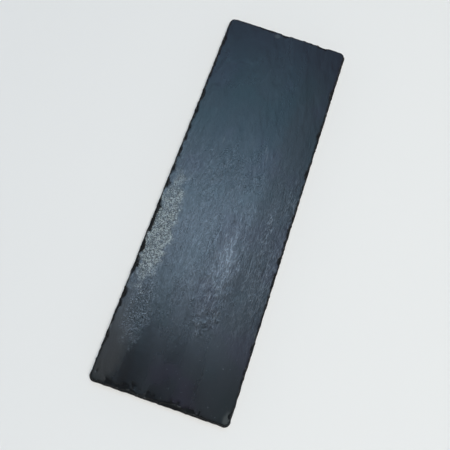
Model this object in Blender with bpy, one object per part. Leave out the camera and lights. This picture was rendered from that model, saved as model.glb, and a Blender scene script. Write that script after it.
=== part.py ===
"""A hand-dressed slate slab on four self-adhesive rubber feet, for Blender 4.5.

Run it with:  blender --background --python part.py

Metres, +Z up. The origin is on the bench, under the middle of the slab. +Y runs
along the slab, away from the person who works at it, and +X is to their right.

The slab is one split stone. Its face is flat and its four edges are dressed: a
slater's knife breaks flakes off them, so each edge slopes outwards and downwards
in a row of shallow scoops that meet in cusps. A thin land is left under the scoops,
and the back arris is knocked off. Each foot is a rubber bumper held to the back of
the stone by a disc of double-sided foam tape.
"""

import math
import random

import bmesh
import bpy
from mathutils import Vector

# Stone
SLAB_LENGTH = 0.300
SLAB_WIDTH = 0.098
SLAB_THICKNESS = 0.005
CORNER_RADIUS = 0.0042
CORNER_STEPS = 6

# Dressed edge, measured inwards from the outline or up from the back
LAND_HEIGHT = 0.0011
BACK_ARRIS_INSET = 0.0004
CORNER_INSET = 0.0013
CUSP_INSET = 0.0009
SCOOP_HEIGHT_SHARE = 0.42
SCOOP_INSET_SHARE = 0.62
NICK_DEPTH = 0.0004
FLAKE_STEP = 0.003
FLAKE_LENGTH_SPREAD = 0.45
FLAKE_SEED = 21

# Each edge's ordinary flakes: their usual length, and how far the slightest and the strongest
# of them bite into the face
FLAKES = {
    "front": (0.0110, 0.0012, 0.0018),
    "right": (0.0095, 0.0010, 0.0015),
    "back": (0.0090, 0.0010, 0.0013),
    "left": (0.0105, 0.0011, 0.0017),
}

# Each edge's deep flakes: the middle as a share of the edge, anticlockwise, the length and the bite
DEEP_FLAKES = {
    "front": ((0.27, 0.011, 0.0023), (0.45, 0.010, 0.0021), (0.61, 0.019, 0.0032)),
    "right": (
        (0.17, 0.008, 0.0019),
        (0.345, 0.009, 0.0022),
        (0.39, 0.007, 0.0026),
        (0.47, 0.010, 0.0023),
        (0.63, 0.008, 0.0025),
        (0.745, 0.009, 0.0022),
        (0.875, 0.011, 0.0026),
    ),
    "back": ((0.17, 0.009, 0.0019), (0.52, 0.008, 0.0017)),
    "left": (
        (0.135, 0.009, 0.0019),
        (0.245, 0.011, 0.0026),
        (0.42, 0.009, 0.0022),
        (0.51, 0.008, 0.0024),
        (0.587, 0.009, 0.0029),
        (0.625, 0.010, 0.0032),
        (0.687, 0.008, 0.0036),
        (0.728, 0.012, 0.0027),
        (0.805, 0.009, 0.0029),
        (0.915, 0.010, 0.0024),
    ),
}

# Feet
FOOT_DIAMETER = 0.012
FOOT_HEIGHT = 0.0016
FOOT_EDGE_ROUND = 0.0005
FOOT_ROUND_STEPS = 3
FOOT_MARGIN = 0.009
TAPE_SETBACK = 0.00075
TAPE_THICKNESS = 0.0005
ROUND_SIDES = 32

# Space between two pieces that rest on each other
CLEARANCE = 0.0003

TAPE_DIAMETER = FOOT_DIAMETER - 2 * TAPE_SETBACK
TAPE_BASE = FOOT_HEIGHT + CLEARANCE
SLAB_BASE = TAPE_BASE + TAPE_THICKNESS + CLEARANCE

SMOOTH_ANGLE = math.radians(35)

SLATE = {"colour": (0.030, 0.036, 0.044), "roughness": 0.42}
RUBBER = {"colour": (0.012, 0.012, 0.013), "roughness": 0.75}
FOAM_TAPE = {"colour": (0.62, 0.62, 0.60), "roughness": 0.85}


def clear_scene():
    for thing in list(bpy.data.objects):
        bpy.data.objects.remove(thing, do_unlink=True)


def make_material(name, finish):
    material = bpy.data.materials.new(name)
    material.use_nodes = True
    shader = material.node_tree.nodes["Principled BSDF"]
    shader.inputs["Base Color"].default_value = (*finish["colour"], 1.0)
    shader.inputs["Roughness"].default_value = finish["roughness"]
    shader.inputs["Metallic"].default_value = 0.0
    return material


def add_object(name, bm, material, parent, place=(0, 0, 0), smooth=False):
    """Turns a finished bmesh into a named object at its place."""
    bmesh.ops.recalc_face_normals(bm, faces=bm.faces)
    mesh = bpy.data.meshes.new(name)
    bm.to_mesh(mesh)
    bm.free()
    mesh.materials.append(material)
    if smooth:
        mesh.shade_smooth()
        mesh.set_sharp_from_angle(angle=SMOOTH_ANGLE)
    made = bpy.data.objects.new(name, mesh)
    made.location = place
    made.parent = parent
    bpy.context.scene.collection.objects.link(made)
    return made


def ordinary_flakes(start, end, usual_length, shallow, strong, rng):
    """The ordinary flakes that fill a stretch of edge, as (start, end, bite)."""
    spread = FLAKE_LENGTH_SPREAD
    count = max(1, round((end - start) / usual_length))
    shares = [rng.uniform(1 - spread, 1 + spread) for _ in range(count)]
    scale = (end - start) / sum(shares)
    flakes = []
    for share in shares:
        flakes.append((start, start + share * scale, rng.uniform(shallow, strong)))
        start += share * scale
    return flakes


def edge_flakes(side, run, rng):
    """All flakes along one edge: the deep ones at their places, and ordinary ones between."""
    flakes = []
    reached = 0.0
    for middle, length, bite in DEEP_FLAKES[side]:
        start = max(reached, middle * run - length / 2)
        if start > reached:
            flakes += ordinary_flakes(reached, start, *FLAKES[side], rng)
        reached = middle * run + length / 2
        flakes.append((start, reached, bite))
    return flakes + ordinary_flakes(reached, run, *FLAKES[side], rng)


def edge_stations(side, run, rng):
    """Stations along one straight edge: (distance, bite into the face, nick in the outline).

    A flake's bite follows half an ellipse between its two cusps.
    """
    stations = []
    for start, end, bite in edge_flakes(side, run, rng):
        stations.append((start, CUSP_INSET, 0.0))
        count = max(3, round((end - start) / FLAKE_STEP))
        for step in range(count):
            t = (step + 0.5) / count
            scoop = math.sqrt(1 - (2 * t - 1) ** 2)
            inset = CUSP_INSET + (bite - CUSP_INSET) * scoop
            stations.append((start + (end - start) * t, inset, rng.uniform(0, NICK_DEPTH)))
    return stations


def corner_stations():
    """Stations round one corner: (angle from the edge's direction, bite into the face)."""
    inset = min(CORNER_INSET, 0.6 * CORNER_RADIUS)
    turn = math.pi / 2
    return [(turn * step / CORNER_STEPS, inset) for step in range(CORNER_STEPS)]


def outline_stations():
    """The whole outline, anticlockwise from the front left corner's end.

    Each station is (point on the outline, inward direction, bite, nick).
    """
    rng = random.Random(FLAKE_SEED)
    half_width = SLAB_WIDTH / 2
    half_length = SLAB_LENGTH / 2
    radius = CORNER_RADIUS
    width_run = SLAB_WIDTH - 2 * radius
    length_run = SLAB_LENGTH - 2 * radius
    sides = (
        ("front", Vector((-half_width + radius, -half_length)), Vector((1, 0)), width_run),
        ("right", Vector((half_width, -half_length + radius)), Vector((0, 1)), length_run),
        ("back", Vector((half_width - radius, half_length)), Vector((-1, 0)), width_run),
        ("left", Vector((-half_width, half_length - radius)), Vector((0, -1)), length_run),
    )
    stations = []
    for side, start, along, run in sides:
        inward = Vector((-along.y, along.x))
        for distance, bite, nick in edge_stations(side, run, rng):
            stations.append((start + along * distance, inward, bite, nick))
        centre = start + along * run + inward * radius
        for angle, bite in corner_stations():
            outward = along * math.sin(angle) - inward * math.cos(angle)
            stations.append((centre + outward * radius, -outward, bite, 0.0))
    return stations


def slab_rings(stations):
    """The slab's four outlines, bottom to top: back arris, land, scoop and face arris."""
    rise = SLAB_THICKNESS - LAND_HEIGHT
    scoop_height = LAND_HEIGHT + rise * SCOOP_HEIGHT_SHARE
    levels = (
        (0.0, lambda bite, nick: BACK_ARRIS_INSET + nick),
        (LAND_HEIGHT, lambda bite, nick: nick),
        (scoop_height, lambda bite, nick: nick + (bite - nick) * SCOOP_INSET_SHARE),
        (SLAB_THICKNESS, lambda bite, nick: bite),
    )
    rings = []
    for height, inset in levels:
        ring = [point + inward * inset(bite, nick) for point, inward, bite, nick in stations]
        rings.append([(point.x, point.y, height) for point in ring])
    return rings


def make_slab(material, parent):
    """The stone: its outlines joined by strips of faces, and closed by the back and the face."""
    bm = bmesh.new()
    rings = [[bm.verts.new(point) for point in ring] for ring in slab_rings(outline_stations())]
    for lower, upper in zip(rings, rings[1:]):
        for i in range(len(lower)):
            j = (i + 1) % len(lower)
            bm.faces.new((lower[i], lower[j], upper[j], upper[i]))
    bm.faces.new(rings[0])
    bm.faces.new(rings[-1])
    return add_object("slab", bm, material, parent, place=(0, 0, SLAB_BASE))


def disc(diameter, height):
    """A round disc standing on the plane z = 0."""
    bm = bmesh.new()
    bmesh.ops.create_cone(
        bm,
        cap_ends=True,
        segments=ROUND_SIDES,
        radius1=diameter / 2,
        radius2=diameter / 2,
        depth=height,
    )
    bmesh.ops.translate(bm, verts=bm.verts, vec=(0, 0, height / 2))
    return bm


def make_foot(name, material, parent, x, y):
    """A rubber bumper, with its lower edge rounded where it meets the bench."""
    bm = disc(FOOT_DIAMETER, FOOT_HEIGHT)
    bottom = [edge for edge in bm.edges if all(vert.co.z < FOOT_HEIGHT / 2 for vert in edge.verts)]
    bmesh.ops.bevel(
        bm,
        geom=bottom,
        offset=min(FOOT_EDGE_ROUND, 0.6 * FOOT_HEIGHT),
        offset_type="OFFSET",
        segments=FOOT_ROUND_STEPS,
        profile=0.5,
        affect="EDGES",
    )
    return add_object(name, bm, material, parent, place=(x, y, 0), smooth=True)


def make_tape(name, material, parent, x, y):
    """The disc of foam tape between a bumper and the back of the stone."""
    bm = disc(TAPE_DIAMETER, TAPE_THICKNESS)
    return add_object(name, bm, material, parent, place=(x, y, TAPE_BASE), smooth=True)


def foot_places():
    """Each foot's name and centre. Its rim stands FOOT_MARGIN inside the slab's outline."""
    reach = FOOT_MARGIN + FOOT_DIAMETER / 2
    x = SLAB_WIDTH / 2 - reach
    y = SLAB_LENGTH / 2 - reach
    return {
        "front_left": (-x, -y),
        "front_right": (x, -y),
        "back_left": (-x, y),
        "back_right": (x, y),
    }


def main():
    clear_scene()
    slate = make_material("slate", SLATE)
    rubber = make_material("foot_rubber", RUBBER)
    foam = make_material("foam_tape", FOAM_TAPE)
    stand = bpy.data.objects.new("slab_assembly", None)
    bpy.context.scene.collection.objects.link(stand)
    make_slab(slate, stand)
    for where, (x, y) in foot_places().items():
        make_foot(f"foot_{where}", rubber, stand, x, y)
        make_tape(f"tape_{where}", foam, stand, x, y)


main()
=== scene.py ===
"""The looks of a hand-dressed slate work slab on four rubber feet.

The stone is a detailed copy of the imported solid: its face is riven, its edges are knapped
in layers, and its back is left as it split. The feet and their tape are modelled over the
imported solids. Lengths are in metres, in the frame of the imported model.
"""

import math
from types import SimpleNamespace

import bpy
import numpy as np
from mathutils import Matrix, Vector, kdtree, noise


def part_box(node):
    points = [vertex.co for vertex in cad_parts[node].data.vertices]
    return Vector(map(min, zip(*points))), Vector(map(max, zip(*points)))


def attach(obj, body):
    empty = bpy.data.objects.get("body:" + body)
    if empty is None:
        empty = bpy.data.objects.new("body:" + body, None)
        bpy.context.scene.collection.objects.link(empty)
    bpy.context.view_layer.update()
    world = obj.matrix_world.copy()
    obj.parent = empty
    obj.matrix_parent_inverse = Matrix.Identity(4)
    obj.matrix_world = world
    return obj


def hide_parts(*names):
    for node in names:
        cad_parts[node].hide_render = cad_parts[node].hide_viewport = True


bl_info = {
    "name": "Slate Work Slab",
    "version": (1, 0, 0),
    "blender": (4, 5, 0),
    "location": "View3D > Sidebar > Slate Slab",
    "description": "Models the looks of a dressed slate slab around its packed solids",
    "category": "Object",
}

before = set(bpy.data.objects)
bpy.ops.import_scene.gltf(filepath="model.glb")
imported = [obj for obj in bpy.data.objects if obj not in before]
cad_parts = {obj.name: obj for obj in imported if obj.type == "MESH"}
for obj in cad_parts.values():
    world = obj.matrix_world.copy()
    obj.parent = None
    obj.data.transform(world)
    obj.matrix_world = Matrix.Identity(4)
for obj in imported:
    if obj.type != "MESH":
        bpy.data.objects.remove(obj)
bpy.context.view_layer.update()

MM = 0.001
CORNERS = ("front_left", "front_right", "back_left", "back_right")

STONE_LOW, STONE_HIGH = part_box("slab")
STONE_HALF_WIDTH = STONE_HIGH.x
STONE_HALF_LENGTH = STONE_HIGH.y
STONE_THICKNESS = STONE_HIGH.z - STONE_LOW.z
FOOT_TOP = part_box("foot_front_left")[1].z

# Marks on the face, each a soft oval: x, y, half its width, half its length, its lean to the left
# The pale grains painted on the GRIT ovals are partly painted glints of the cool light.
GRIT = ((-0.0395, -0.038, 0.0115, 0.052, 0.03), (-0.0330, -0.094, 0.0105, 0.032, -0.06))
# The pale blue scuffs painted on the STREAKS, strongest in BRIGHT_STREAK, are partly painted sheen.
STREAKS = ((0.0120, -0.048, 0.0230, 0.062, 0.20), (0.0350, -0.030, 0.0105, 0.058, 0.08))
BRIGHT_STREAK = (0.0115, -0.047, 0.0075, 0.033, 0.16)
# BROWN marks a paler, warmer patch at the front left, partly painted reflection of a neutral light.
BROWN = (-0.0420, -0.122, 0.0150, 0.045, 0.05)
PALE_SPOTS = (
    (-0.0080, 0.1450, 0.0034, 0.0026, 0.3), (0.0462, -0.1442, 0.0042, 0.0064, 0.2),
    (0.0468, -0.0870, 0.0012, 0.0018, 0.0), (-0.0195, 0.0440, 0.0007, 0.0050, 1.1),
    (0.0130, 0.0470, 0.0007, 0.0042, -0.5), (0.0155, 0.0400, 0.0006, 0.0050, 0.1),
)
# Patches that darken the near end, each an oval as above: painted dark reflection.
DARK_REFLECTION_PATCHES = (
    (-0.0272, -0.132, 0.0056, 0.026, 0.05), (-0.0150, -0.128, 0.0220, 0.040, 0.10),
    (0.0360, -0.136, 0.0240, 0.038, 0.00),
)

# Places where the front rim broke further in, each an oval: x, y, half its width, half its length
# These take the knapped edges' dark colour, which is partly painted shade.
BROKEN_FRONT = ((-0.0220, -0.1485, 0.0240, 0.0042), (0.0200, -0.1490, 0.0230, 0.0032))

# Fades over the face, along X or Y: where each begins, and where it is complete
BELT_FRONT = (-0.115, -0.060)
BELT_BACK = (0.060, 0.010)
RIGHT_STRIP = (0.018, 0.027)
NEAR_END = (-0.070, -0.110)
NEAR_RIGHT = (-0.012, 0.004)
FAR_END = (0.095, 0.145)
SHEEN_FRONT = (-0.085, -0.125)
SHEEN_BACK = (0.07, 0.12)
MARGIN_END = (0.0, 0.045)
SHEETS_BEGIN = (-0.125, -0.085)
FRONT_RIM = (-0.136, -0.146)
RIGHT_RIM = (0.030, 0.042)

# Width of the proud sheet along the left margin
MARGIN_AT_FRONT = 20 * MM
MARGIN_AT_BACK = 11 * MM

# Usual size of the relief's forms, across and along the grain
WAVE = (0.055, 0.13)
SHEET = (0.026, 0.09)
SCALE = (0.0024, 0.010)
BACK_WAVE = (0.045, 0.11)
BACK_SHEET = (0.02, 0.06)

# Depth of the small scales all over the face, and of those added in the streaks
SCALE_DEPTH = 0.012 * MM
STREAK_SCALE_DEPTH = 0.030 * MM

# Usual size of the breaks, the chips and the roughness of a knapped edge
BREAK = 4.5 * MM
CHIP = 1.4 * MM
ROUGH = 0.7 * MM

# How far from an edge of the face its wear reaches, and how deep the edge is worn and bitten
WEAR_REACH = 5 * MM
ARRIS_WEAR = 0.16 * MM
ARRIS_ROUNDING = 0.35 * MM
BACK_ARRIS_WEAR = 0.3 * MM
RIM_DEPTH = 0.28 * MM

# The back is flat round each foot as far as the first distance, and whole again at the second
FOOT_FLAT = (6.2 * MM, 13 * MM)

# Colours mixed into the stone's own
VIOLET = (0.0155, 0.0140, 0.0230, 1.0)
GREEN = (0.0100, 0.0165, 0.0185, 1.0)
# A paler brown for the front left, partly painted reflection.
BROWN_AND_REFLECTION = (0.031, 0.030, 0.028, 1.0)
# The near end's darkening: painted dark reflection.
DARK_REFLECTION_TINT = (0.0070, 0.0062, 0.0058, 1.0)
FAR_VIOLET = (0.0130, 0.0100, 0.0165, 1.0)
# A pale blue for the scuffs on the streaks, partly painted sheen of the cool light.
SCUFF_AND_SHEEN = (0.20, 0.242, 0.292, 1.0)
CRACK = (0.003, 0.0035, 0.004, 1.0)
BACK_DARK = (0.024, 0.027, 0.030, 1.0)
BACK_LIGHT = (0.052, 0.055, 0.058, 1.0)
BACK_SCUFF = (0.13, 0.14, 0.14, 1.0)

# Colours mixed into the feet's, the tape's and the floor's own
RUBBER_DUST = (0.06, 0.058, 0.055, 1.0)
GLUE_STAIN = (0.42, 0.40, 0.36, 1.0)
# A grey for the floor's uneven tone and, towards the left, painted shade.
FLOOR_GREY = (0.70, 0.71, 0.72, 1.0)

# Rounding of a bumper's lower and upper edge
FOOT_LOWER_ROUND = 0.5 * MM
FOOT_UPPER_ROUND = 0.12 * MM

# Meshing of the feet and the tape, and the space above and below the tape
ROUND_SIDES = 64
TAPE_LEVELS = 8
TAPE_GAP = 0.02 * MM

# Meshing of the stone
CELL = 0.95 * MM
EDGE_CELL = 0.55 * MM
EDGE_ZONE = 4.5 * MM
BACK_CELL = 2.6 * MM
SHEETS_IN_EDGE = 8
RISER = 0.03 * MM
MERGE = 0.002 * MM


# ---------------------------------------------------------------- sizes and colours

class StoneSettings(bpy.types.PropertyGroup):
    grain_angle: bpy.props.FloatProperty(
        name="Grain Angle",
        description="How far the grain leans to the left of the slab's length",
        default=math.radians(14), subtype="ANGLE")
    wave_depth: bpy.props.FloatProperty(
        name="Wave Depth", description="Depth of the long waves of the riven face",
        default=0.16 * MM, unit="LENGTH", precision=5)
    sheet_depth: bpy.props.FloatProperty(
        name="Sheet Depth", description="Height of the steps between cleaved sheets on the face",
        default=0.05 * MM, unit="LENGTH", precision=5)
    margin_fall: bpy.props.FloatProperty(
        name="Margin Fall", description="How far the left margin falls from the edge towards the middle",
        default=0.22 * MM, unit="LENGTH", precision=5)
    margin_step: bpy.props.FloatProperty(
        name="Margin Step", description="Height of the step where the left margin's sheet ends",
        default=0.05 * MM, unit="LENGTH", precision=5)
    right_fall: bpy.props.FloatProperty(
        name="Right Fall", description="How far the face falls away towards its right edge",
        default=0.42 * MM, unit="LENGTH", precision=5)
    ledge_depth: bpy.props.FloatProperty(
        name="Ledge Depth", description="How far the layers stand back from each other in the edges",
        default=0.42 * MM, unit="LENGTH", precision=5)
    dark: bpy.props.FloatVectorProperty(
        name="Dark Slate", description="Colour of the stone where oil has soaked in",
        default=(0.0080, 0.0095, 0.0115), subtype="COLOR", size=3)
    light: bpy.props.FloatVectorProperty(
        name="Light Slate", description="Colour of the stone's paler clouds and streaks",
        default=(0.0150, 0.0180, 0.0215), subtype="COLOR", size=3)
    # The knapped edges' near-black colour is partly painted shade.
    broken: bpy.props.FloatVectorProperty(
        name="Broken Slate", description="Colour of the knapped edges",
        default=(0.0075, 0.0080, 0.0088), subtype="COLOR", size=3)
    # Stone dust's colour also paints the pale grains on the grit, which are partly painted glints.
    dust: bpy.props.FloatVectorProperty(
        name="Stone Dust", description="Colour of crushed stone on arrises and in scratches",
        default=(0.265, 0.30, 0.295), subtype="COLOR", size=3)


class FootSettings(bpy.types.PropertyGroup):
    rubber: bpy.props.FloatVectorProperty(
        name="Rubber", description="Colour of the bumpers",
        default=(0.014, 0.014, 0.015), subtype="COLOR", size=3)
    foam: bpy.props.FloatVectorProperty(
        name="Foam Tape", description="Colour of the foam tape",
        default=(0.60, 0.60, 0.57), subtype="COLOR", size=3)
    dish: bpy.props.FloatProperty(
        name="Dish Depth", description="Depth of the moulded dish under each bumper",
        default=0.25 * MM, unit="LENGTH", precision=5)
    bulge: bpy.props.FloatProperty(
        name="Tape Bulge", description="How far the pressed tape swells at its rim",
        default=0.12 * MM, unit="LENGTH", precision=5)


class StageSettings(bpy.types.PropertyGroup):
    floor: bpy.props.FloatVectorProperty(
        name="Floor", description="Colour of the floor",
        default=(0.80, 0.80, 0.79), subtype="COLOR", size=3)
    window_power: bpy.props.FloatProperty(
        name="Window Power", description="Power of the cool panel that makes the sheen",
        default=3.8, unit="POWER")
    fill_power: bpy.props.FloatProperty(
        name="Fill Power", description="Power of the panel that lights the floor near the slab",
        default=4.5, unit="POWER")
    sky_light: bpy.props.FloatProperty(
        name="Sky Light", description="Strength of the wide soft light on the whole floor",
        default=2.04)


# ---------------------------------------------------------------- modelling helpers

def only(piece):
    """Selects one object and nothing else, and makes it active."""
    bpy.ops.object.select_all(action="DESELECT")
    piece.select_set(True)
    bpy.context.view_layer.objects.active = piece


def edit(piece, mode):
    """Opens a piece for editing, with nothing selected."""
    only(piece)
    bpy.ops.object.mode_set(mode="EDIT")
    bpy.ops.mesh.select_mode(type=mode)
    bpy.ops.mesh.select_all(action="DESELECT")


def leave_edit():
    bpy.ops.object.mode_set(mode="OBJECT")


def pick(piece, kind, test):
    """Selects the vertices, edges or faces of the piece being edited that pass a test."""
    bpy.ops.object.mode_set(mode="OBJECT")
    mesh = piece.data
    for item in (*mesh.vertices, *mesh.edges, *mesh.polygons):
        item.select = False
    for item in getattr(mesh, kind):
        item.select = test(item)
    bpy.ops.object.mode_set(mode="EDIT")


def settle(piece):
    """Puts a piece's place and turn into its mesh and its origin at the frame's."""
    only(piece)
    bpy.ops.object.transform_apply(location=True, rotation=True, scale=True)


def copy_to(piece, name, offset):
    """A copy of a piece with its own mesh, moved by an offset."""
    mesh = piece.data.copy()
    mesh.transform(Matrix.Translation(offset))
    mesh.name = name
    made = bpy.data.objects.new(name, mesh)
    bpy.context.scene.collection.objects.link(made)
    return made


def hand_over(piece, material, node):
    """Gives a finished piece its material and its place in the frame."""
    piece.data.materials.clear()
    piece.data.materials.append(material)
    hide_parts(node)
    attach(piece, "root")


def smoothstep(low, high, value):
    """0 at low and 1 at high, smooth between. Low may be the larger."""
    t = min(1.0, max(0.0, (value - low) / (high - low)))
    return t * t * (3 - 2 * t)


# ---------------------------------------------------------------- shader helpers

class Socket:
    """An output socket. Arithmetic on it adds Math nodes to its material."""

    def __init__(self, shading, socket):
        self.shading = shading
        self.socket = socket

    def _math(self, operation, *values):
        node = self.shading.node("ShaderNodeMath", {"operation": operation}, list(values))
        return Socket(self.shading, node.outputs[0])

    def __add__(self, other):
        return self._math("ADD", self, other)

    def __radd__(self, other):
        return self._math("ADD", other, self)

    def __sub__(self, other):
        return self._math("SUBTRACT", self, other)

    def __rsub__(self, other):
        return self._math("SUBTRACT", other, self)

    def __mul__(self, other):
        return self._math("MULTIPLY", self, other)

    def __rmul__(self, other):
        return self._math("MULTIPLY", other, self)

    def least(self, other):
        return self._math("MINIMUM", self, other)

    def most(self, other):
        return self._math("MAXIMUM", self, other)

    def ramp(self, low, high):
        """0 at low and 1 at high, smooth between. Low may be the larger."""
        node = self.shading.node("ShaderNodeMapRange", {"interpolation_type": "SMOOTHSTEP"}, {
            "Value": self, "From Min": low, "From Max": high})
        return Socket(self.shading, node.outputs["Result"])


class Shading:
    """A material or world, and the nodes that are added to it."""

    def __init__(self, owner):
        self.owner = owner
        owner.use_nodes = True
        self.tree = owner.node_tree

    def node(self, kind, settings=None, values=None):
        """Adds a node: its settings first, then the values or links of its sockets."""
        node = self.tree.nodes.new(kind)
        for name, setting in (settings or {}).items():
            setattr(node, name, setting)
        pairs = enumerate(values) if isinstance(values, (list, tuple)) else (values or {}).items()
        for place, value in pairs:
            self.feed(node.inputs[place], value)
        return node

    def feed(self, target, value):
        """Links a socket to an input, or sets the input's value."""
        if isinstance(value, Socket):
            self.tree.links.new(value.socket, target)
        elif isinstance(value, bpy.types.NodeSocket):
            self.tree.links.new(value, target)
        else:
            target.default_value = value

    def out(self, node, name=0):
        return Socket(self, node.outputs[name])

    def place(self, scale=(1, 1, 1), turn=0.0, centre=(0, 0, 0)):
        """Object coordinates about a centre, turned by an angle round Z and then scaled."""
        coords = self.node("ShaderNodeTexCoord")
        moved = self.node("ShaderNodeVectorMath", {"operation": "SUBTRACT"}, [
            coords.outputs["Object"], centre])
        mapped = self.node("ShaderNodeMapping", {"vector_type": "POINT"}, {
            "Vector": moved.outputs[0], "Rotation": (0, 0, -turn), "Scale": scale})
        return mapped.outputs[0]

    def cloud(self, place, scale, detail=2.0, rough=0.5, warp=0.0):
        node = self.node("ShaderNodeTexNoise", {}, {
            "Vector": place, "Scale": scale, "Detail": detail, "Roughness": rough, "Distortion": warp})
        return self.out(node, "Fac")

    def cells(self, place, scale, feature="F1", output="Distance"):
        node = self.node("ShaderNodeTexVoronoi", {"feature": feature}, {"Vector": place, "Scale": scale})
        return self.out(node, output)

    def warp(self, place, scale, reach):
        """A place moved about by clouds, by up to half a reach each way."""
        drift = self.node("ShaderNodeTexNoise", {}, {"Vector": place, "Scale": scale, "Detail": 2.0})
        middle = self.node("ShaderNodeVectorMath", {"operation": "SUBTRACT"}, [
            drift.outputs["Color"], (0.5, 0.5, 0.5)])
        moved = self.node("ShaderNodeVectorMath", {"operation": "MULTIPLY_ADD"}, [
            middle.outputs[0], (reach, reach, reach), place])
        return moved.outputs[0]

    def axis(self, place, letter):
        node = self.node("ShaderNodeSeparateXYZ", {}, [place])
        return self.out(node, letter)

    def blend(self, mask, first, second):
        """Mixes two colours by a mask."""
        node = self.node("ShaderNodeMix", {"data_type": "RGBA"})
        self.feed(node.inputs[0], mask)
        self.feed(node.inputs[6], first)
        self.feed(node.inputs[7], second)
        return node.outputs[2]

    def oval(self, mark, ragged=0.0):
        """A soft oval mark on the face: 1 in its middle and 0 at its rim, which may be ragged."""
        x, y, half_width, half_length, lean = mark
        place = self.place((1 / half_width, 1 / half_length, 0), lean, (x, y, 0))
        reach = self.out(self.node("ShaderNodeVectorMath", {"operation": "LENGTH"}, [place]), "Value")
        if ragged:
            reach = reach + (self.cloud(self.place(), 160, 4.0, 0.6) - 0.5) * ragged
        return reach.ramp(1.0, 0.35)

    def attribute(self, name):
        return self.out(self.node("ShaderNodeAttribute", {"attribute_name": name}), "Fac")

    def bump(self, height):
        """The normal of a surface with small heights, in metres."""
        node = self.node("ShaderNodeBump", {}, {"Strength": 1.0, "Distance": 1.0, "Height": height})
        return self.out(node)

    def shader(self):
        return self.tree.nodes["Principled BSDF"]


def colour(rgb):
    return (*rgb, 1.0)


def new_material(name):
    return Shading(bpy.data.materials.new(name))


# ---------------------------------------------------------------- the stone's relief

def grain_place(x, y, angle):
    """A point's place across and along the grain."""
    across = x * math.cos(angle) + y * math.sin(angle)
    along = y * math.cos(angle) - x * math.sin(angle)
    return across, along


def margin_line(y):
    """Where the left margin ends: the edge of a sheet that split off beside it."""
    share = (y + STONE_HALF_LENGTH) / (2 * STONE_HALF_LENGTH)
    return -STONE_HALF_WIDTH + MARGIN_AT_FRONT + (MARGIN_AT_BACK - MARGIN_AT_FRONT) * share


def steps(value):
    """Turns a smooth rise into flat sheets with steep steps between them."""
    whole = math.floor(value)
    return whole + smoothstep(0.78, 1.0, value - whole)


def margin_depth(x, y, settings):
    """How far the face lies under the proud sheet along its left margin, which runs out at the back."""
    line = margin_line(y) + 1.2 * MM * noise.noise((x / 0.01, y / 0.02, 1.1))
    proud = 1 - smoothstep(*MARGIN_END, y)
    width = line + STONE_HALF_WIDTH
    across = min(1.0, max(0.0, (x + STONE_HALF_WIDTH) / width))
    step = settings.margin_step * smoothstep(line - 1.0 * MM, line + 3.5 * MM, x)
    fall = settings.margin_fall * (1 - (1 - across) * proud)
    return fall + step * proud + settings.margin_step * (1 - proud)


def oval_share(x, y, mark):
    """How much a soft oval mark counts at a point: 1 in its middle and 0 at its rim."""
    middle_x, middle_y, half_width, half_length, lean = mark
    across, along = grain_place(x - middle_x, y - middle_y, lean)
    return 1 - smoothstep(0.35, 1.0, math.hypot(across / half_width, along / half_length))


def face_depth(x, y, settings):
    """How far the face lies under its highest plane at a point."""
    across, along = grain_place(x, y, settings.grain_angle)
    wave = noise.noise((across / WAVE[0], along / WAVE[1], 2.3))
    depth = settings.wave_depth * (0.5 + 0.5 * wave)
    sheets = noise.fractal((across / SHEET[0], along / SHEET[1], 8.1), 0.9, 2.1, 4)
    whole = smoothstep(*SHEETS_BEGIN, y)
    depth += settings.sheet_depth * (2 + whole * max(-2.0, min(2.0, steps(2.2 * sheets))))
    depth += margin_depth(x, y, settings)
    right = max(0.0, x - 0.4 * STONE_HALF_WIDTH) / (0.6 * STONE_HALF_WIDTH)
    depth += settings.right_fall * right ** 2
    streaky = max(oval_share(x, y, mark) for mark in STREAKS)
    scales = noise.noise((across / SCALE[0], along / SCALE[1], 5.7))
    return depth + (SCALE_DEPTH + STREAK_SCALE_DEPTH * streaky) * (1 + scales)


def broken_rim(x, y, away):
    """How much a point of the face belongs to the broken rim along its edges, from 0 to 1."""
    bite = noise.fractal((x / 0.005, y / 0.005, 9.0), 0.8, 2.1, 3)
    front = smoothstep(*FRONT_RIM, y)
    right = smoothstep(*RIGHT_RIM, x)
    least = 0.26 + 0.35 * front - 0.22 * right
    reach = (least + max(0.0, bite + 0.05) * (2.6 + 3.0 * front - 1.4 * right)) * MM
    rim = 1 - smoothstep(reach - 0.25 * MM, reach + 0.25 * MM, away)
    for middle_x, middle_y, half_width, half_length in BROKEN_FRONT:
        spread = math.hypot((x - middle_x) / half_width, (y - middle_y) / half_length) - 1.3 * bite
        rim = max(rim, 1 - smoothstep(0.70, 0.85, spread))
    return rim


def back_depth(x, y, settings, feet):
    """How far the back is hollowed above its lowest plane: nothing where a foot is stuck on."""
    across, along = grain_place(x, -y, settings.grain_angle)
    wave = 0.5 + 0.5 * noise.noise((across / BACK_WAVE[0], along / BACK_WAVE[1], 31.0))
    sheets = noise.fractal((across / BACK_SHEET[0], along / BACK_SHEET[1], 47.0), 0.9, 2.1, 4)
    depth = 1.3 * settings.wave_depth * wave
    depth += 1.6 * settings.sheet_depth * (2 + max(-2.0, min(2.0, steps(2.6 * sheets))))
    for foot in feet:
        away = math.hypot(x - foot.x, y - foot.y)
        depth *= smoothstep(*FOOT_FLAT, away)
    return depth


def inward(x, y):
    """The direction from a point of the edge towards the middle of the stone."""
    reach = 8 * MM
    half_width = STONE_HALF_WIDTH - reach
    half_length = STONE_HALF_LENGTH - reach
    core = Vector((min(half_width, max(-half_width, x)), min(half_length, max(-half_length, y))))
    direction = core - Vector((x, y))
    return direction.normalized() if direction.length > MERGE else Vector((0, 0))


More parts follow.
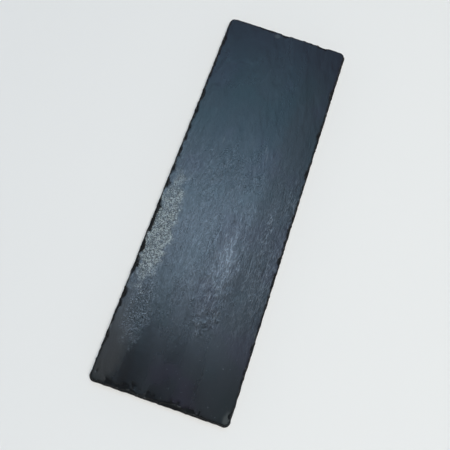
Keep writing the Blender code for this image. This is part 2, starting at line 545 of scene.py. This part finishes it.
def ledge(x, y, height, settings):
    """How far a point of the edge stands back: each layer of the stone broke at its own line."""
    layer = math.floor(SHEETS_IN_EDGE * height / STONE_THICKNESS)
    spread = noise.noise((x / BREAK, y / BREAK, 3.7 * layer))
    chip = noise.noise((x / CHIP, y / CHIP, 11.3 * layer))
    rough = noise.noise((x / ROUGH, y / ROUGH, height / ROUGH))
    share = 0.5 + 0.62 * spread + 0.25 * chip + 0.10 * rough
    above_land = 0.12 + 0.88 * smoothstep(0.22, 0.36, height / STONE_THICKNESS)
    return settings.ledge_depth * min(1.0, max(0.0, share)) * above_land


# ---------------------------------------------------------------- the stone

def cut(axis, places):
    """Cuts the faces that show, of the piece being edited, along planes across one axis."""
    normal = Vector((0, 0, 0))
    normal[axis] = 1
    for place in places:
        point = Vector((0, 0, 0))
        point[axis] = place
        bpy.ops.mesh.select_all(action="SELECT")
        bpy.ops.mesh.bisect(plane_co=point, plane_no=normal)


def cut_places(half, zone, edge_cell, cell):
    """Places of the cuts across one axis, close together near both edges."""
    places = list(np.arange(-half + edge_cell, -half + zone, edge_cell))
    count = round(2 * (half - zone) / cell)
    places += list(np.linspace(-half + zone, half - zone, count + 1))
    places += list(np.arange(half - zone + edge_cell, half, edge_cell))
    return [float(place) for place in places]


def hide_faces(piece, test):
    """Hides the faces that pass a test, and no others, so that the next cuts leave them alone."""
    bpy.ops.mesh.reveal(select=False)
    pick(piece, "polygons", test)
    bpy.ops.mesh.hide(unselected=False)


def cut_stone(piece):
    """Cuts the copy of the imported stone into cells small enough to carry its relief."""
    hide_faces(piece, lambda face: face.normal.z < -0.9)
    cut(0, cut_places(STONE_HALF_WIDTH, EDGE_ZONE, EDGE_CELL, CELL))
    cut(1, cut_places(STONE_HALF_LENGTH, EDGE_ZONE, EDGE_CELL, CELL))
    hide_faces(piece, lambda face: abs(face.normal.z) > 0.95)
    for layer in range(1, SHEETS_IN_EDGE):
        height = STONE_LOW.z + STONE_THICKNESS * layer / SHEETS_IN_EDGE
        cut(2, (height - RISER, height + RISER))
    hide_faces(piece, lambda face: face.normal.z > -0.9)
    cut(0, cut_places(STONE_HALF_WIDTH, BACK_CELL, BACK_CELL, BACK_CELL))
    cut(1, cut_places(STONE_HALF_LENGTH, BACK_CELL, BACK_CELL, BACK_CELL))
    bpy.ops.mesh.reveal(select=True)
    leave_edit()


def split_by_side(piece):
    """The vertices of the face, the back and the edges, as three sets. An arris is in two of them."""
    mesh = piece.data
    top, bottom, side = set(), set(), set()
    for face in mesh.polygons:
        group = top if face.normal.z > 0.95 else bottom if face.normal.z < -0.95 else side
        group.update(face.vertices)
    return top, bottom, side


def arris_tree(piece, group, side):
    """A search tree of the points where a flat side of the stone meets its edges."""
    points = [piece.data.vertices[index].co for index in group & side]
    tree = kdtree.KDTree(len(points))
    for index, point in enumerate(points):
        tree.insert(point, index)
    tree.balance()
    return tree


def weather_stone(piece, settings):
    """Moves the vertices to the riven face, the layered edges and the split back."""
    mesh = piece.data
    top, bottom, side = split_by_side(piece)
    face_arris = arris_tree(piece, top, side)
    back_arris = arris_tree(piece, bottom, side)
    feet = [(low + high) / 2 for low, high in (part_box("foot_" + corner) for corner in CORNERS)]
    dressed = np.zeros(len(mesh.vertices), np.float32)
    worn_edge = np.zeros(len(mesh.vertices), np.float32)
    upper = np.ones(len(mesh.vertices), np.float32)
    for vertex in mesh.vertices:
        x, y, z = vertex.co
        index = vertex.index
        if index in top:
            away = face_arris.find(vertex.co)[2]
            rim = broken_rim(x, y, away)
            depth = face_depth(x, y, settings) + RIM_DEPTH * rim
            worn = 0.5 + 0.5 * noise.noise((x / 0.0022, y / 0.0022, 6.0))
            depth += ARRIS_WEAR * worn ** 2 * math.exp(-away / (0.45 * MM))
            if index in side:
                vertex.co.xy += inward(x, y) * ARRIS_ROUNDING * worn
            vertex.co.z = z - depth
            worn_edge[index] = max(0.0, 1 - away / WEAR_REACH)
            dressed[index] = 1.0 if index in side else rim
        elif index in bottom:
            away = back_arris.find(vertex.co)[2]
            depth = back_depth(x, y, settings, feet)
            chipped = 0.5 + 0.5 * noise.noise((x / 0.003, y / 0.003, 16.0))
            depth += BACK_ARRIS_WEAR * chipped * math.exp(-away / (0.8 * MM))
            vertex.co.z = z + depth
            upper[index] = 0.0
            worn_edge[index] = max(0.0, 1 - away / WEAR_REACH)
        else:
            height = z - STONE_LOW.z
            under = STONE_THICKNESS - height
            fade = smoothstep(0.0, 0.3 * MM, height) * smoothstep(0.0, 0.25 * MM, under)
            vertex.co.xy += inward(x, y) * ledge(x, y, height, settings) * fade
            vertex.co.z = z - face_depth(x, y, settings) * height / STONE_THICKNESS
            dressed[index] = 1.0
            worn_edge[index] = max(0.0, 1 - under / WEAR_REACH)
    for name, values in (("dressed", dressed), ("worn_edge", worn_edge), ("upper", upper)):
        mesh.attributes.new(name, "FLOAT", "POINT").data.foreach_set("value", values)


def slate_marks(s, settings):
    """Where things are on the stone, and the patterns that its heights and its colours share."""
    m = SimpleNamespace()
    m.lean = settings.grain_angle
    m.plain = s.place()
    m.grain = s.place((1, 0.16, 1), m.lean)
    m.y = s.axis(m.plain, "Y")
    m.ragged_x = s.axis(m.plain, "X") + (s.cloud(m.plain, 90, 3.0) - 0.5) * (9 * MM)
    m.upper = s.attribute("upper")
    m.belt = m.y.ramp(*BELT_FRONT) * m.y.ramp(*BELT_BACK)
    m.sparkle, m.crackle = (s.oval(mark, 1.3) * m.upper for mark in GRIT)
    m.gritty = m.sparkle.most(m.crackle * 0.8)
    streaks = s.oval(STREAKS[0], 0.9).most(s.oval(STREAKS[1], 0.9) * 0.8)
    m.streaky = streaks.most(m.belt * 0.45) * m.upper
    m.bright = s.oval(BRIGHT_STREAK, 0.9)
    m.mottle = s.cloud(m.grain, 45, 5.0, 0.6)
    m.warped = s.warp(m.plain, 700, 1.3 * MM)
    m.crack = s.cells(m.warped, 780, "DISTANCE_TO_EDGE").ramp(0.17, 0.02)
    worm = s.cells(s.warp(s.place((1, 0.36, 1), m.lean), 420, 1.8 * MM), 640, "DISTANCE_TO_EDGE")
    broken = s.cloud(s.place((1, 0.35, 1), m.lean), 620, 3.0, 0.6)
    m.ridge = worm.ramp(0.20, 0.02) * broken.ramp(0.42, 0.56)
    at_edge = s.attribute("worn_edge").ramp(0.80, 0.98)
    m.bruise = s.cloud(m.plain, 520, 3.0, 0.6).ramp(0.56, 0.68) * at_edge
    return m


def slate_height(s, m):
    """The fine heights of the face, in metres: grit, cracks, fibres, scales, swells and ridges."""
    grit = s.cloud(m.plain, 850, 2.0, 0.6)
    fibre = s.cloud(s.place((1, 0.17, 1), m.lean), 1250, 2.0, 0.55, 0.4)
    scale = s.cloud(s.place((1, 0.24, 1), m.lean), 330, 4.0, 0.62, 0.3)
    levels = (0.40, 0.46, 0.52, 0.58, 0.64)
    terraces = sum((scale.ramp(level - 0.012, level + 0.012) for level in levels), 0.0)
    broad = s.cloud(m.grain, 260, 2.0)
    height = grit * (0.03 * MM + m.gritty * (0.11 * MM)) - m.crack * m.gritty * (0.07 * MM)
    height = height + fibre * (0.04 * MM + m.streaky * (0.09 * MM))
    height = height + terraces * (0.006 * MM + m.streaky * (0.032 * MM))
    return height + broad * (0.06 * MM) + m.ridge * (0.004 * MM + m.streaky * (0.060 * MM))


def slate_ground(s, m, settings):
    """The face's colour under its marks: clouds along the grain, tinted patches, a paler brown patch at
    the front left that is partly painted reflection, and painted dark reflection along the near end.
    """
    stone = s.blend(m.mottle.ramp(0.32, 0.70), colour(settings.dark), colour(settings.light))
    patches = s.cloud(m.plain, 26, 3.0)
    stone = s.blend(patches.ramp(0.52, 0.68) * 0.8, stone, VIOLET)
    stone = s.blend(patches.ramp(0.48, 0.34) * 0.8, stone, GREEN)
    # A paler brown patch at the front left, partly painted reflection.
    stone = s.blend(s.oval(BROWN, 0.7) * 0.65, stone, BROWN_AND_REFLECTION)
    # Darker patches along the near end: painted dark reflection.
    dark_reflection = s.oval(DARK_REFLECTION_PATCHES[0], 0.6).most(s.oval(DARK_REFLECTION_PATCHES[1], 0.6) * 0.25).most(s.oval(DARK_REFLECTION_PATCHES[2], 0.6) * 0.7)
    stone = s.blend(dark_reflection * 0.7, stone, DARK_REFLECTION_TINT)
    return s.blend(m.y.ramp(*FAR_END) * 0.7, stone, FAR_VIOLET)


def slate_colour(s, m, settings):
    """The face's colour with pale grains and scuffs, partly dust and partly painted glints and sheen, with
    cracks and bruises, and the plainer back's.
    """
    grains = s.cloud(m.plain, 1050, 3.0, 0.7).ramp(0.44, 0.58)
    grains = grains * (s.cells(m.warped, 780, "F1", "Color").ramp(0.30, 0.70) * 0.65 + 0.35)
    # Pale grains on the grit and a few pale spots, in the colour of stone dust: partly dust and scratches,
    # partly painted glints of the cool light.
    pale = (grains * 1.85 + 0.08) * m.sparkle
    for mark in PALE_SPOTS:
        pale = pale + s.oval(mark, 0.8) * m.upper * 0.10
    # The scuffs below are pale blue flecks, ridges and specks, lifted most in the bright streak: partly
    # painted sheen of the cool light.
    clump = s.cloud(m.grain, 150, 2.0).ramp(0.35, 0.65) * 0.7 + 0.3
    fleck = s.cloud(s.place((1, 0.15, 1), m.lean), 1400, 2.0, 0.6).ramp(0.54, 0.66) * clump
    scuffs_and_sheen = (fleck * 0.46 + m.ridge * clump * 0.42) * m.streaky * (1 + m.bright * 1.1)
    nearby = m.y.ramp(*NEAR_END) * m.ragged_x.ramp(*NEAR_RIGHT) * 0.7
    specks = s.cloud(m.plain, 640, 1.0).ramp(0.72, 0.80) * m.streaky.most(m.belt).most(nearby)
    scuffs_and_sheen = scuffs_and_sheen + specks * 0.3 + (grains * 0.50 + 0.03) * m.crackle

    stone = slate_ground(s, m, settings)
    stone = s.blend(pale.least(1.0), stone, colour(settings.dust))
    stone = s.blend(scuffs_and_sheen.least(1.0), stone, SCUFF_AND_SHEEN)
    stone = s.blend(m.crack * (m.sparkle * 0.45).most(m.crackle * 0.75), stone, CRACK)
    stone = s.blend(m.bruise * 0.25, stone, colour(settings.dust))
    back = s.blend(m.mottle.ramp(0.36, 0.62), BACK_DARK, BACK_LIGHT)
    back = s.blend(fleck * 0.25, back, BACK_SCUFF)
    return s.blend(m.upper, back, stone)


def slate_roughness(m):
    """How rough the sheen is: smoother at both ends and in the marks, rougher right and below."""
    rough = 0.285 + (m.mottle - 0.5) * 0.08 + m.ragged_x.ramp(*RIGHT_STRIP) * 0.08 + m.bruise * 0.15
    rough = rough - m.gritty * 0.07 - m.streaky * 0.045 - m.bright * 0.060
    rough = rough - m.y.ramp(*SHEEN_FRONT) * 0.04 - m.y.ramp(*SHEEN_BACK) * 0.025
    return rough + (1 - m.upper) * 0.25


def knapped_shader(s, m, settings):
    """The second shader of the stone, for its knapped edges: dry, dark and coarse, their near-black colour
    partly painted shade.
    """
    sheets = s.cloud(s.place((1, 1, 9)), 420, 3.0)
    tone = s.blend(sheets.ramp(0.45, 0.75), colour(settings.broken), colour(settings.light))
    tone = s.blend(m.bruise * 0.30, tone, colour(settings.dust))
    coarse = s.cloud(s.place((1, 1, 3)), 1100, 4.0, 0.65) * (0.22 * MM)
    return s.node("ShaderNodeBsdfPrincipled", {}, {
        "Base Color": tone,
        "Roughness": sheets * 0.2 + 0.55,
        "Normal": s.bump(coarse),
        "Specular IOR Level": 0.10,
    })


def slate_material(settings):
    """Dark slate: an oiled face, and dry knapped edges where the mesh says that it was dressed."""
    s = new_material("slate")
    m = slate_marks(s, settings)
    face = s.shader()
    s.feed(face.inputs["Base Color"], slate_colour(s, m, settings))
    s.feed(face.inputs["Roughness"], slate_roughness(m))
    s.feed(face.inputs["Normal"], s.bump(slate_height(s, m)))
    edge = knapped_shader(s, m, settings)
    dressed = s.attribute("dressed") + (s.cloud(m.plain, 900, 2.0) - 0.5) * 0.5
    joined = s.node("ShaderNodeMixShader", {}, [
        dressed.ramp(0.35, 0.60), face.outputs[0], edge.outputs[0]])
    s.feed(s.tree.nodes["Material Output"].inputs["Surface"], joined.outputs[0])
    return s.owner


class SLATE_OT_stone(bpy.types.Operator):
    """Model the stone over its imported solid"""
    bl_idname = "slate_slab.stone"
    bl_label = "Stone"

    def execute(self, context):
        settings = context.scene.slate_stone
        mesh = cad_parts["slab"].data.copy()
        piece = bpy.data.objects.new("slate_stone", mesh)
        context.scene.collection.objects.link(piece)
        edit(piece, "FACE")
        bpy.ops.mesh.customdata_custom_splitnormals_clear()
        bpy.ops.mesh.select_all(action="SELECT")
        bpy.ops.mesh.remove_doubles(threshold=MERGE)
        bpy.ops.mesh.dissolve_limited(angle_limit=math.radians(0.3))
        cut_stone(piece)
        weather_stone(piece, settings)
        only(piece)
        bpy.ops.object.shade_smooth_by_angle(angle=math.radians(38))
        hand_over(piece, slate_material(settings), "slab")
        return {"FINISHED"}


# ---------------------------------------------------------------- the feet

def rubber_material(settings):
    """Matte black rubber with a fine moulded grain and a little dust."""
    s = new_material("foot_rubber")
    plain = s.place()
    pores = s.cloud(plain, 2600, 3.0, 0.6)
    dust = s.cloud(plain, 380, 4.0, 0.65).ramp(0.55, 0.75)
    tone = s.blend(dust * 0.35, colour(settings.rubber), RUBBER_DUST)
    shader = s.shader()
    s.feed(shader.inputs["Base Color"], tone)
    s.feed(shader.inputs["Roughness"], 0.62 + pores * 0.2 + dust * 0.1)
    s.feed(shader.inputs["Normal"], s.bump(pores * (0.02 * MM)))
    return s.owner


def foam_material(settings):
    """Off-white closed-cell foam with a thin film of glue at each side."""
    s = new_material("foam_tape")
    plain = s.place()
    cells = s.cells(plain, 3200)
    stain = s.cloud(plain, 300, 3.0).ramp(0.5, 0.8)
    tone = s.blend(stain * 0.5, colour(settings.foam), GLUE_STAIN)
    shader = s.shader()
    s.feed(shader.inputs["Base Color"], tone)
    s.feed(shader.inputs["Roughness"], 0.78 + cells * 0.2)
    s.feed(shader.inputs["Normal"], s.bump(cells * (0.05 * MM)))
    return s.owner


def model_foot(name, low, high, settings):
    """A bumper: a short drum with a rounded lower edge, a dish underneath and a gate mark."""
    radius = (high.x - low.x) / 2
    height = high.z - low.z
    centre = (low + high) / 2
    bpy.ops.object.select_all(action="DESELECT")
    bpy.ops.mesh.primitive_cylinder_add(vertices=ROUND_SIDES, radius=radius, depth=height, location=centre)
    piece = bpy.context.active_object
    piece.name = name
    settle(piece)
    edit(piece, "EDGE")
    verts = piece.data.vertices
    pick(piece, "edges", lambda edge: all(verts[i].co.z < centre.z for i in edge.vertices))
    bpy.ops.mesh.bevel(offset=FOOT_LOWER_ROUND, segments=5, profile=0.5, affect="EDGES")
    verts = piece.data.vertices
    pick(piece, "edges", lambda edge: all(verts[i].co.z > high.z - MERGE for i in edge.vertices))
    bpy.ops.mesh.bevel(offset=FOOT_UPPER_ROUND, segments=3, profile=0.5, affect="EDGES")
    land = (1.3 * MM, 0.0)
    slope = (0.5 * MM, settings.dish)
    hollow = (2.2 * MM, 0.0)
    gate_mark = (0.12 * MM, 0.12 * MM)
    for inset, rise in (land, slope, hollow, gate_mark):
        bpy.ops.mesh.select_mode(type="FACE")
        pick(piece, "polygons", lambda face: face.normal.z < -0.9 and len(face.vertices) > 20)
        bpy.ops.mesh.inset(thickness=inset, depth=0.0)
        if rise:
            bpy.ops.transform.translate(value=(0, 0, rise))
    leave_edit()
    bpy.ops.object.shade_smooth_by_angle(angle=math.radians(35))
    return piece


class SLATE_OT_feet(bpy.types.Operator):
    """Model the four rubber bumpers"""
    bl_idname = "slate_slab.feet"
    bl_label = "Rubber Feet"

    def execute(self, context):
        settings = context.scene.slate_feet
        rubber = rubber_material(settings)
        first = CORNERS[0]
        low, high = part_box("foot_" + first)
        pieces = {first: model_foot("rubber_foot_" + first, low, high, settings)}
        for corner in CORNERS[1:]:
            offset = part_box("foot_" + corner)[0] - low
            pieces[corner] = copy_to(pieces[first], "rubber_foot_" + corner, offset)
        for corner, piece in pieces.items():
            hand_over(piece, rubber, "foot_" + corner)
        return {"FINISHED"}


def model_tape(name, low, high, settings):
    """A disc of foam tape, pressed between its foot and the stone so that its rim swells."""
    radius = (high.x - low.x) / 2 - settings.bulge
    bottom = FOOT_TOP + TAPE_GAP
    top = STONE_LOW.z - TAPE_GAP
    depth = top - bottom
    centre = Vector(((low.x + high.x) / 2, (low.y + high.y) / 2, (bottom + top) / 2))
    bpy.ops.object.select_all(action="DESELECT")
    bpy.ops.mesh.primitive_cylinder_add(vertices=ROUND_SIDES, radius=radius, depth=depth, location=centre)
    piece = bpy.context.active_object
    piece.name = name
    settle(piece)
    edit(piece, "FACE")
    for level in range(1, TAPE_LEVELS):
        bpy.ops.mesh.select_all(action="SELECT")
        height = bottom + depth * level / TAPE_LEVELS
        bpy.ops.mesh.bisect(plane_co=(0, 0, height), plane_no=(0, 0, 1))
    leave_edit()
    for vertex in piece.data.vertices:
        share = (vertex.co.z - bottom) / depth
        out = Vector((vertex.co.x - centre.x, vertex.co.y - centre.y))
        turn = math.atan2(out.y, out.x)
        uneven = 0.72 + 0.28 * noise.noise((1.6 * math.cos(turn), 1.6 * math.sin(turn), 4 * share))
        swell = settings.bulge * math.sin(math.pi * share) ** 0.6 * uneven if 0 < share < 1 else 0.0
        vertex.co.xy = centre.xy + out * (1 + swell / radius)
    bpy.ops.object.shade_smooth_by_angle(angle=math.radians(50))
    return piece


class SLATE_OT_tapes(bpy.types.Operator):
    """Model the four discs of foam tape"""
    bl_idname = "slate_slab.tapes"
    bl_label = "Foam Tape"

    def execute(self, context):
        settings = context.scene.slate_feet
        foam = foam_material(settings)
        for corner in CORNERS:
            low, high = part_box("tape_" + corner)
            piece = model_tape("foam_tape_" + corner, low, high, settings)
            hand_over(piece, foam, "tape_" + corner)
        return {"FINISHED"}


# ---------------------------------------------------------------- the stage

VIEW_AIM = Vector((0.0025, -0.0187, STONE_LOW.z + 1.1 * MM))
VIEW_DISTANCE = 0.4099
VIEW_AZIMUTH = math.radians(7.80)
VIEW_ELEVATION = math.radians(72.30)
VIEW_ROLL = math.radians(11.28)
VIEW_LENS = 45.38

WINDOW_PLACE = (-0.118, 0.29, 1.2)
WINDOW_SIZE = (0.44, 0.32)
WINDOW_TINT = (0.58, 0.76, 0.985)
FILL_PLACE = (0.24, -0.16, 1.2)
FILL_SIZE = (0.8, 0.8)
FILL_TINT = (1.0, 0.97, 0.92)
SKY_LIGHT_ANGLE = math.radians(37)

# The sky: its two colours, and two patches in it, each with a direction and the angles of its fade
DOME = (0.05, 0.085, 0.13, 1.0)
HORIZON = (0.76, 0.78, 0.80, 1.0)
GLOW = (1.06, 2.16, 3.10, 1.0)
GLOW_WAY = (-0.075, 0.416, 0.906)
GLOW_ANGLES = (14, 2)
SHADE = (0.02, 0.02, 0.02, 1.0)
SHADE_WAY = (0.041, -0.301, 0.953)
SHADE_ANGLES = (34, 14)


def direction(azimuth, elevation):
    """The direction from the slab to a place: azimuth 0 is in front, and turns to the right."""
    return Vector((
        math.sin(azimuth) * math.cos(elevation),
        -math.cos(azimuth) * math.cos(elevation),
        math.sin(elevation),
    ))


def add_camera(scene):
    back = direction(VIEW_AZIMUTH, VIEW_ELEVATION)
    turn = (-back).to_track_quat("-Z", "Y").to_matrix() @ Matrix.Rotation(VIEW_ROLL, 3, "Z")
    camera = bpy.data.objects.new("camera", bpy.data.cameras.new("camera"))
    camera.location = VIEW_AIM + back * VIEW_DISTANCE
    camera.rotation_euler = turn.to_euler()
    camera.data.lens = VIEW_LENS
    camera.data.sensor_width = 36
    camera.data.clip_start = 0.01
    camera.data.clip_end = 50
    scene.collection.objects.link(camera)
    scene.camera = camera


def add_panel(scene, name, place, size, power, tint, sheen):
    """A rectangular soft light facing the slab, which either makes its sheen or lights its colours."""
    light = bpy.data.lights.new(name, "AREA")
    light.shape = "RECTANGLE"
    light.size, light.size_y = size
    light.energy = power
    light.color = tint
    panel = bpy.data.objects.new(name, light)
    panel.location = place
    panel.rotation_euler = (-Vector(place)).to_track_quat("-Z", "Y").to_euler()
    panel.visible_glossy = sheen
    panel.visible_diffuse = not sheen
    scene.collection.objects.link(panel)


def add_sky_light(scene, way, strength, tint):
    """A wide soft light from one direction, that lights the floor evenly."""
    light = bpy.data.lights.new("sky_light", "SUN")
    light.energy = strength
    light.color = tint
    light.angle = SKY_LIGHT_ANGLE
    lamp = bpy.data.objects.new("sky_light", light)
    lamp.rotation_euler = (-Vector(way)).to_track_quat("-Z", "Y").to_euler()
    lamp.visible_glossy = False
    scene.collection.objects.link(lamp)


def sky_patch(s, way, middle, angles):
    """A soft round patch of the sky: 0 outside the first angle from its middle, 1 inside the second."""
    near = s.node("ShaderNodeVectorMath", {"operation": "DOT_PRODUCT"}, [way, middle])
    outer, inner = (math.cos(math.radians(angle)) for angle in angles)
    return s.out(near, "Value").ramp(outer, inner)


def add_world(scene):
    """A cool dome over a pale horizon, dim where the person who works at the slab leans over it."""
    world = bpy.data.worlds.new("studio")
    s = Shading(world)
    coords = s.node("ShaderNodeTexCoord")
    way = coords.outputs["Generated"]
    up = s.axis(way, "Z")
    sky = s.blend(up.ramp(0.14, 0.40), HORIZON, DOME)
    sky = s.blend(sky_patch(s, way, GLOW_WAY, GLOW_ANGLES), sky, GLOW)
    sky = s.blend(sky_patch(s, way, SHADE_WAY, SHADE_ANGLES), sky, SHADE)
    background = s.tree.nodes["Background"]
    s.feed(background.inputs["Color"], sky)
    background.inputs["Strength"].default_value = 1.0
    scene.world = world


def floor_material(settings):
    """Plain pale paper, a little uneven in tone, and a little greyer towards the left: painted shade."""
    s = new_material("floor_paper")
    plain = s.place()
    tone = s.cloud(plain, 9, 3.0)
    # Greyer towards the left: painted shade of the light's fall across the floor.
    grey = tone * 0.06 + s.axis(plain, "X").ramp(0.25, -0.30) * 0.55
    shader = s.shader()
    s.feed(shader.inputs["Base Color"], s.blend(grey, colour(settings.floor), FLOOR_GREY))
    s.feed(shader.inputs["Roughness"], 0.75 + tone * 0.1)
    shader.inputs["Specular IOR Level"].default_value = 0.2
    return s.owner


class SLATE_OT_stage(bpy.types.Operator):
    """Set the floor, the lights and the camera"""
    bl_idname = "slate_slab.stage"
    bl_label = "Stage"

    def execute(self, context):
        scene = context.scene
        settings = scene.slate_stage
        bpy.ops.object.select_all(action="DESELECT")
        bpy.ops.mesh.primitive_plane_add(size=8.0, location=(0, 0, 0))
        floor = context.active_object
        floor.name = "floor"
        floor.data.materials.append(floor_material(settings))
        window = (WINDOW_PLACE, WINDOW_SIZE, settings.window_power, WINDOW_TINT)
        fill = (FILL_PLACE, FILL_SIZE, settings.fill_power, FILL_TINT)
        add_panel(scene, "window_panel", *window, sheen=True)
        add_panel(scene, "fill_panel", *fill, sheen=False)
        add_sky_light(scene, FILL_PLACE, settings.sky_light, FILL_TINT)
        add_world(scene)
        add_camera(scene)
        scene.view_settings.view_transform = "Standard"
        return {"FINISHED"}


class SLATE_PT_panel(bpy.types.Panel):
    """Sizes and colours of the slab, and a button for each group of pieces"""
    bl_label = "Slate Slab"
    bl_idname = "SLATE_PT_panel"
    bl_space_type = "VIEW_3D"
    bl_region_type = "UI"
    bl_category = "Slate Slab"

    def draw(self, context):
        scene = context.scene
        for settings in (scene.slate_stone, scene.slate_feet, scene.slate_stage):
            box = self.layout.box()
            for name in settings.__annotations__:
                box.prop(settings, name)
        for operator in OPERATORS:
            self.layout.operator(operator.bl_idname)


GROUPS = {"slate_stone": StoneSettings, "slate_feet": FootSettings, "slate_stage": StageSettings}
OPERATORS = (SLATE_OT_stone, SLATE_OT_feet, SLATE_OT_tapes, SLATE_OT_stage)


def register():
    for cls in (*GROUPS.values(), *OPERATORS, SLATE_PT_panel):
        bpy.utils.register_class(cls)
    for name, group in GROUPS.items():
        setattr(bpy.types.Scene, name, bpy.props.PointerProperty(type=group))


def unregister():
    for name in GROUPS:
        delattr(bpy.types.Scene, name)
    for cls in (SLATE_PT_panel, *reversed(OPERATORS), *reversed(GROUPS.values())):
        bpy.utils.unregister_class(cls)


def main():
    register()
    bpy.ops.slate_slab.stone()
    bpy.ops.slate_slab.feet()
    bpy.ops.slate_slab.tapes()
    bpy.ops.slate_slab.stage()


if __name__ == "__main__":
    main()
